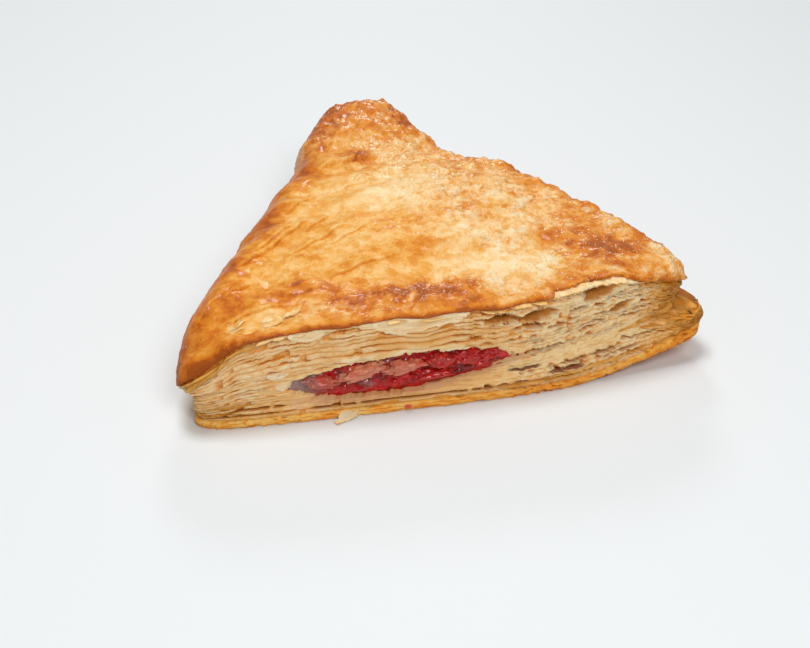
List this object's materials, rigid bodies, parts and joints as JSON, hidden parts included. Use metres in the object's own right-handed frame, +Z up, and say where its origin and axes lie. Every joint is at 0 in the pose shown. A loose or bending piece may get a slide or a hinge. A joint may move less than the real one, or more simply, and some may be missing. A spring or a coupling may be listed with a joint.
{
  "type": "fruit turnover pastry",
  "caption": "Triangular puff pastry turnover with a domed browned crust, flaky layers and a fruit filling showing in its open front.",
  "frame": {"origin": "under the middle of the turnover, on the surface it rests on", "axes": "+X along the open front from its left corner to its right tip, +Y from the front to the apex, +Z up"},
  "size_m": [0.1571, 0.141, 0.0377],
  "materials": {
    "crust": "golden brown baked puff pastry, glazed on top, with pale cream layers in the open side",
    "filling": "wet dark red cooked fruit"
  },
  "bodies": {
    "root": {"pastry": "crust", "filling": "filling"}
  },
  "joints": []
}
